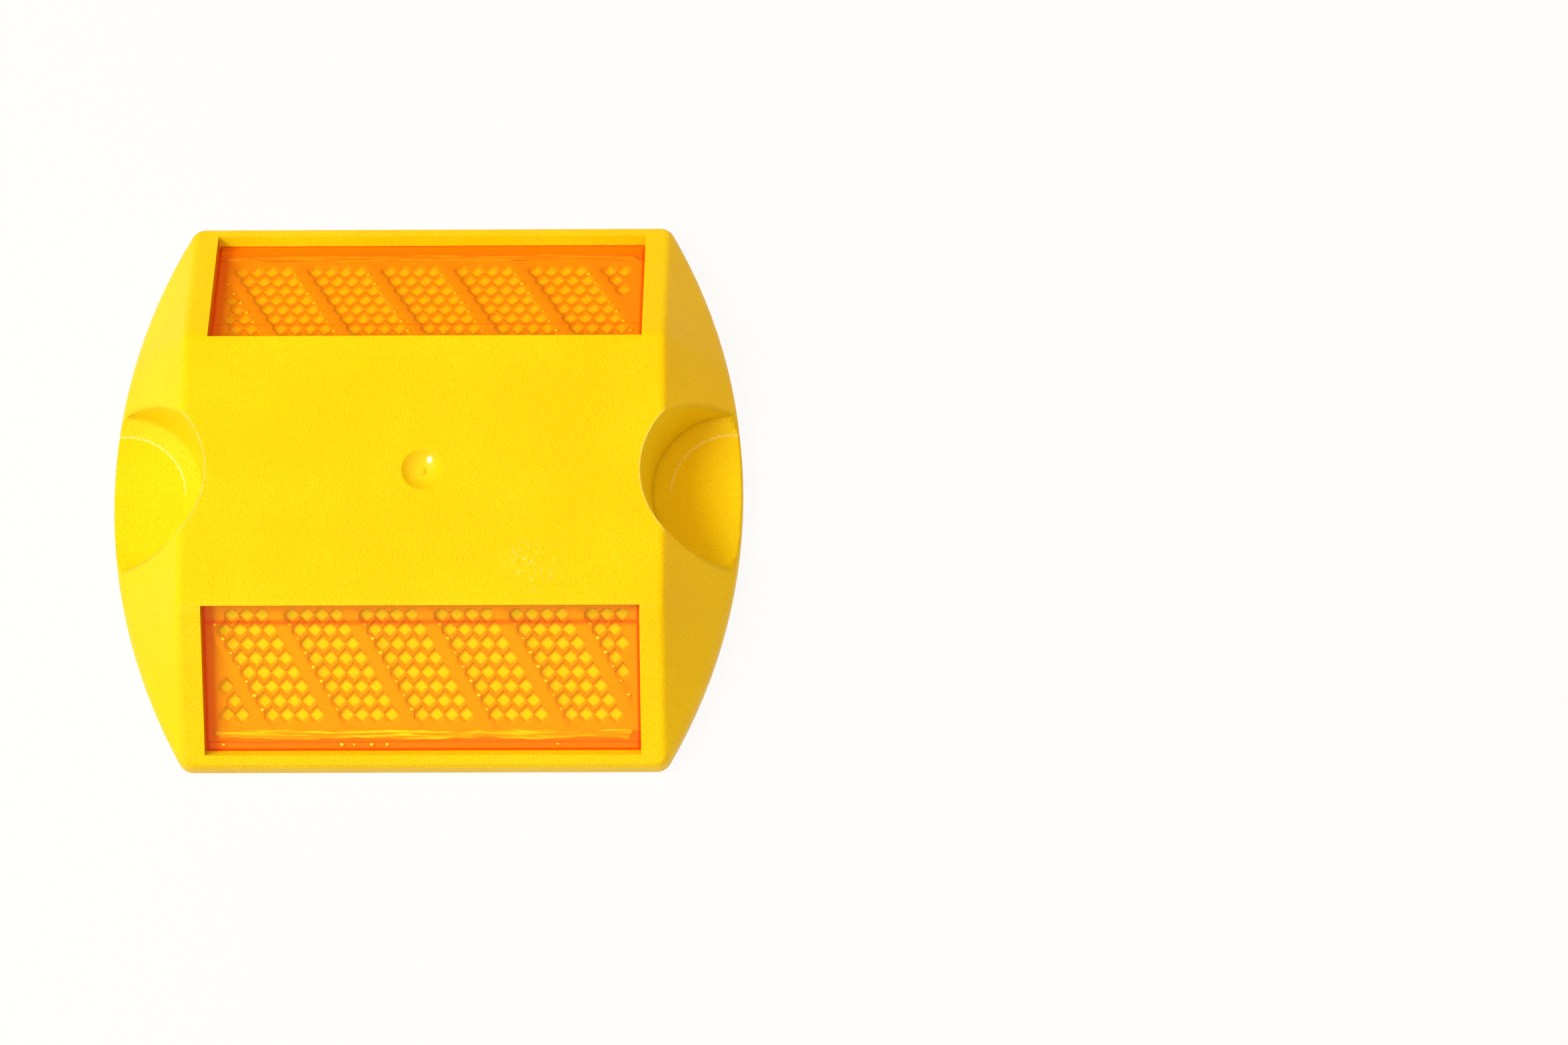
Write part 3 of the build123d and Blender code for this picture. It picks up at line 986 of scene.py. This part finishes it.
@dataclass
class Lens:
    """Prism lens in one of the sloping faces."""

    side: Side
    seat: LensSeat
    air_gap: float = 0.02
    weld_distance: float = 0.001
    bead_radius: float = 0.24
    bead_wave: float = 0.14
    bead_slant: Point = (0.9, 1.3)
    bead_waves: Waves = ((0.6, 0.37, 0.0), (0.4, 1.13, 1.7))
    bead_swell: Waves = ((0.18, 0.41, 0.0), (0.12, 0.17, 0.6))
    bead_corner: float = 1.2
    bead_corner_steps: int = 6
    bead_sides: int = 8
    bead_step: float = 0.35
    band_start: float = -0.05
    band_width: float = 1.35
    band_sink: float = 0.12
    band_ridge: float = 0.09
    band_taper: float = 1.0
    band_ridges: tuple[Point, ...] = (
        (0.0, 1.0), (0.16, -0.6), (0.3, 0.4), (0.52, -1.0), (0.68, 0.2), (0.84, -0.7), (1.0, 1.0)
    )
    band_drift: Waves = ((0.16, 0.33, 2.0), (0.07, 1.21, 5.0))
    band_swell: Waves = ((0.5, 0.47, 9.0),)
    prism_pitch: float = 2.4
    prism_tilt: float = 29.0
    prism_rows: int = 8
    columns_per_cell: int = 5
    cell_count: int = 5
    first_row: float = 1.5
    # Size, shape and spread of the pale dots: painted sparkles of light at the row heads, and pips along
    # the front foot.
    sparkle_radius: float = 0.3
    sparkle_shape: Triple = (1.0, 0.8, 0.5)
    sparkle_spread: Waves = ((0.25, 2.3, 0.0),)
    foot_pips: tuple[float, ...] = (-32.2, -13.2, -11.2, -8.4, -5.9, 21.5)
    foot_pip_place: float = 24.0

    @property
    def label(self) -> str:
        """Name of the side, for the names of its pieces."""
        return self.side.name.lower()

    def dress(self, material: Material) -> None:
        """Gives the lens its finish and a film of air between it and its ledge.

        Args:
            material: Finish of the lens.
        """
        piece = frame["nodes"][f"lens_{self.label}"]
        piece.material_slots[0].material = material
        weld = piece.modifiers.new("joined_edges", "WELD")
        weld.merge_threshold = self.weld_distance * MM
        film = piece.modifiers.new("air_film", "DISPLACE")
        film.mid_level = 0.0
        film.strength = -self.air_gap * MM
        log.info("lens_%s dressed", self.label)

    def ledge_loop(self) -> list[tuple[Point, Point]]:
        """Follows the inner edge of the ledge, with round corners.

        Returns:
            Points of the loop, across and down the face, each with its direction away from the pocket.
        """
        seat = self.seat
        half_width = seat.opening_width / 2 - seat.ledge_side - self.bead_corner
        top = seat.ledge_top + self.bead_corner
        foot = seat.opening_height - seat.ledge_foot - self.bead_corner
        corners = [(half_width, foot), (-half_width, foot), (-half_width, top), (half_width, top)]
        points = []
        for number, (across, down) in enumerate(corners):
            for turn in range(self.bead_corner_steps + 1):
                angle = pi / 2 * (number + turn / self.bead_corner_steps)
                out = (cos(angle), sin(angle))
                points.append((across + self.bead_corner * out[0], down + self.bead_corner * out[1], out))
        loop = []
        for number, (across, down, out) in enumerate(points):
            next_across, next_down, _ = points[(number + 1) % len(points)]
            steps = max(1, round(hypot(next_across - across, next_down - down) / self.bead_step))
            for step in range(steps):
                share = step / steps
                at = (across + (next_across - across) * share, down + (next_down - down) * share)
                loop.append((at, out))
        return loop

    def bead_path(self) -> list[tuple[Vector, Vector]]:
        """Lays the wavy line of the bead along the ledge.

        Returns:
            Points of the line in millimetres, each with its direction away from the pocket.
        """
        seat = self.seat
        depth = seat.recess + seat.thickness + self.bead_radius + 2 * self.air_gap
        origin = seat.point(self.side, 0.0, 0.0, 0.0)
        path = []
        for at, out in self.ledge_loop():
            phase = at[0] * self.bead_slant[0] + at[1] * self.bead_slant[1] + self.side.value
            wave = self.bead_wave * waves(phase, self.bead_waves)
            centre = seat.point(self.side, at[0] + out[0] * wave, at[1] + out[1] * wave, depth)
            path.append((centre, seat.point(self.side, out[0], out[1], 0.0) - origin))
        return path

    def bead(self, material: Material) -> None:
        """Builds the bead of melted plastic along the ledge.

        Args:
            material: Finish of the body that it comes from.
        """
        seat = self.seat
        inward = seat.point(self.side, 0.0, 0.0, 1.0) - seat.point(self.side, 0.0, 0.0, 0.0)
        mesh = bmesh.new()
        rings = []
        for number, (centre, away) in enumerate(self.bead_path()):
            swell = 1 + waves(number, self.bead_swell)
            ring = []
            for corner in range(self.bead_sides):
                angle = 2 * pi * corner / self.bead_sides
                spoke = away * cos(angle) * swell + inward * sin(angle)
                ring.append(mesh.verts.new(centre + spoke * self.bead_radius))
            rings.append(ring)
        skin(mesh, rings, looped=True)
        mesh_object(f"weld_bead_{self.label}", mesh, material, Slot.HOUSING)

    def band(self, material: Material) -> None:
        """Builds the wavy band along the foot where lens and ledge have melted together.

        Args:
            material: Finish of the melted plastic.
        """
        seat = self.seat
        half = seat.opening_width / 2 - seat.ledge_side
        start = seat.opening_height - seat.ledge_foot + self.band_start
        depth = seat.recess + seat.thickness - self.band_sink
        mesh = bmesh.new()
        lines = []
        count = round(2 * half / self.bead_step)
        for number in range(count + 1):
            across = -half + 2 * half * number / count
            taper = min(1.0, (half - abs(across)) / self.band_taper)
            line = []
            for share, ridge in self.band_ridges:
                drift = waves(across, self.band_drift, share)
                swell = 1 + waves(across, self.band_swell, share)
                down = start + self.band_width * share * taper + drift * taper
                point = seat.point(self.side, across, down, depth + self.band_ridge * ridge * swell)
                line.append(mesh.verts.new(point))
            lines.append(line)
        skin(mesh, lines, closed=False)
        mesh_object(f"weld_band_{self.label}", mesh, material, Slot.HOUSING)

    def sparkles(self, material: Material) -> None:
        """Builds pale dots that stand in for sparkles of light at the head of each row of prisms, and pale
        pips along the foot of the front lens.

        Args:
            material: Finish of the painted sparkles and pips.
        """
        seat = self.seat
        row_pitch = self.prism_pitch * cos(pi / 6) / cos(radians(self.prism_tilt))
        depth = seat.recess + seat.thickness - self.sparkle_radius
        foot_pips = self.foot_pips if self.side is Side.FRONT else ()
        places = [(across, self.foot_pip_place) for across in foot_pips]
        for row in range(1, self.prism_rows):
            for number in range(self.cell_count + 1):
                spread = (number - self.cell_count / 2) * self.columns_per_cell * self.prism_pitch
                lean = (row - (self.prism_rows - 1) / 2) * self.prism_pitch / 2
                if abs(spread + lean) < seat.opening_width / 2 - seat.ledge_side:
                    places.append((spread + lean, self.first_row + row * row_pitch))
        mesh = bmesh.new()
        for number, (across, down) in enumerate(places):
            centre = seat.point(self.side, across, down, depth)
            place = Matrix.Translation(centre) @ Matrix.Diagonal((*self.sparkle_shape, 1.0))
            radius = self.sparkle_radius * (1 + waves(number, self.sparkle_spread))
            bmesh.ops.create_icosphere(mesh, subdivisions=1, radius=radius, matrix=place)
        mesh_object(f"row_pips_{self.label}", mesh, material, Slot.LENS)


@dataclass
class Studio:
    """Pale floor, soft light and the camera."""

    floor_radius: float = 4.0
    floor_sides: int = 96
    floor_drop: float = 0.00002
    floor_colour: Colour = (0.85, 0.85, 0.85, 1.0)
    floor_lift: float = 0.92
    ceiling_colour: Colour = (1.05, 0.70, 0.30, 1.0)
    ceiling_range: Range = (0.45, 0.75)
    wall_colour: Colour = (0.44, 0.215, 0.06, 1.0)
    horizon_range: Range = (0.06, 0.03)
    white: Colour = (1.0, 1.0, 1.0, 1.0)
    key_power: float = 6.7
    key_size: float = 0.5
    key_elevation: float = 53.0
    key_towards_front: float = 0.08
    glint_power: float = 8.0
    glint_size: float = 0.3
    glint_direction: Triple = (-0.50, -0.39, 0.77)
    camera_distance: float = 1.150
    camera_elevation: float = 73.8
    camera_target: Triple = (0.0576, -0.00383, 0.0)
    camera_slide: float = 0.024
    camera_roll: float = -0.18
    focal_length: float = 162.86
    sensor_width: float = 36.0

    def floor(self) -> None:
        """Builds the floor, which shows white but keeps the shadow."""
        mesh = bmesh.new()
        bmesh.ops.create_circle(mesh, cap_ends=True, segments=self.floor_sides, radius=self.floor_radius)
        data = bpy.data.meshes.new("floor")
        mesh.to_mesh(data)
        mesh.free()
        piece = bpy.data.objects.new("floor", data)
        piece.location.z = cad_low.z - self.floor_drop
        bpy.context.scene.collection.objects.link(piece)
        material, graph = new_material("floor_paper")
        paper = graph.node("BsdfDiffuse", None, {"Color": self.floor_colour})
        glow = graph.node("Emission", None, {"Color": self.white})
        lift = graph.seen() * self.floor_lift
        surface = graph.node("MixShader", None, {0: lift, 1: paper, 2: glow})
        graph.show(surface)
        data.materials.append(material)

    def world(self) -> None:
        """Lights the stud from all round and shows white behind it."""
        world = bpy.data.worlds.new("studio")
        world.use_nodes = True
        graph = Graph(world.node_tree)
        direction = graph.node("TexCoord", None, None, "Generated")
        rise = graph.axes(direction)[2]
        room = graph.mix(rise.between(*self.ceiling_range), self.wall_colour, self.ceiling_colour)
        room = graph.mix(rise.between(*self.horizon_range), room, self.white)
        surface = graph.node("Background", None, {"Color": room})
        graph.node("OutputWorld", None, {"Surface": surface})
        bpy.context.scene.world = world

    def lamp(self, name: str, power: float, size: float, towards: Vector) -> Object:
        """Hangs a round lamp a metre from the stud.

        Args:
            name: Name of the lamp.
            power: Power in watts.
            size: Diameter in metres.
            towards: Direction of the lamp from the stud.

        Returns:
            The lamp, which the camera doesn't see.
        """
        data = bpy.data.lights.new(name, "AREA")
        data.energy = power
        data.shape = "DISK"
        data.size = size
        piece = bpy.data.objects.new(name, data)
        piece.location = towards.normalized()
        piece.rotation_euler = towards.to_track_quat("Z", "Y").to_euler()
        piece.visible_camera = False
        bpy.context.scene.collection.objects.link(piece)
        return piece

    def lamps(self) -> None:
        """Hangs the soft key lamp over the left end, and a small lamp for the glints."""
        elevation = radians(self.key_elevation)
        towards = Vector((-cos(elevation), -self.key_towards_front, sin(elevation)))
        key = self.lamp("key", self.key_power, self.key_size, towards)
        key.visible_glossy = False
        glint = self.lamp("glint", self.glint_power, self.glint_size, Vector(self.glint_direction))
        glint.visible_diffuse = False
        glint.visible_transmission = False

    def camera(self) -> None:
        """Sets up the camera of the photograph."""
        data = bpy.data.cameras.new("camera")
        data.lens = self.focal_length
        data.sensor_width = self.sensor_width
        piece = bpy.data.objects.new("camera", data)
        elevation = radians(self.camera_elevation)
        back = Vector((0.0, -cos(elevation), sin(elevation)))
        piece.location = Vector(self.camera_target) + back * self.camera_distance
        piece.location.x += self.camera_slide
        turn = Matrix.Rotation(atan2(self.camera_slide, self.camera_distance), 3, "Y")
        roll = Matrix.Rotation(radians(self.camera_roll), 3, "Z")
        piece.rotation_euler = (Matrix.Rotation(pi / 2 - elevation, 3, "X") @ turn @ roll).to_euler()
        bpy.context.scene.collection.objects.link(piece)
        bpy.context.scene.camera = piece

    def build(self) -> None:
        """Sets up the whole studio."""
        self.floor()
        self.world()
        self.lamps()
        self.camera()
        bpy.context.scene.view_settings.view_transform = "Standard"
        log.info("studio set up")


def main() -> None:
    """Builds and dresses the stud in its studio."""
    logging.basicConfig(level=logging.INFO)
    housing = Housing()
    plastic = housing.dress()
    housing.gate(plastic)
    KeyedUnderside().build(plastic)
    seat = LensSeat()
    melts = {
        Side.FRONT: MeltedSeam("front_seam", (1.0, 0.42, 0.003, 1.0), (1.0, 0.86, 0.10, 1.0)),
        Side.REAR: MeltedSeam("rear_seam", (1.0, 0.30, 0.002, 1.0), (1.0, 0.50, 0.015, 1.0)),
    }
    # Pale finishes of the painted sparkles on the prisms.
    sparkles = {
        Side.FRONT: MeltedSeam("front_pip", (1.0, 0.90, 0.5, 1.0), (1.0, 0.97, 0.7, 1.0)),
        Side.REAR: MeltedSeam("rear_pip", (1.0, 0.70, 0.1, 1.0), (1.0, 0.85, 0.25, 1.0)),
    }
    acrylics = {
        Side.FRONT: TintedAcrylic("front_acrylic"),
        # Painted shade: the rear lens takes deeper copies of the front lens's colours, as if it got less
        # light.
        Side.REAR: TintedAcrylic(
            "rear_acrylic",
            face_colour=(1.0, 0.80, 0.01, 1.0),
            back_colour=(1.0, 0.35, 0.001, 1.0),
            lit_prism_colour=(1.0, 0.58, 0.02, 1.0),
            dark_band_colour=(1.0, 0.30, 0.001, 1.0),
            facet_frost=0.7,
            edge_radius=0.8,
            facet_radius=0.9,
            facet_range=(0.94, 0.9995),
            dark_band_place=4.9,
            dark_band_width=0.45,
            flow_place=21.9,
        ),
    }
    for side in Side:
        lens = Lens(side, seat)
        lens.dress(acrylics[side].material(seat))
        lens.bead(plastic)
        lens.band(melts[side].material())
        lens.sparkles(sparkles[side].material())
    Studio().build()


if __name__ == "__main__":
    main()
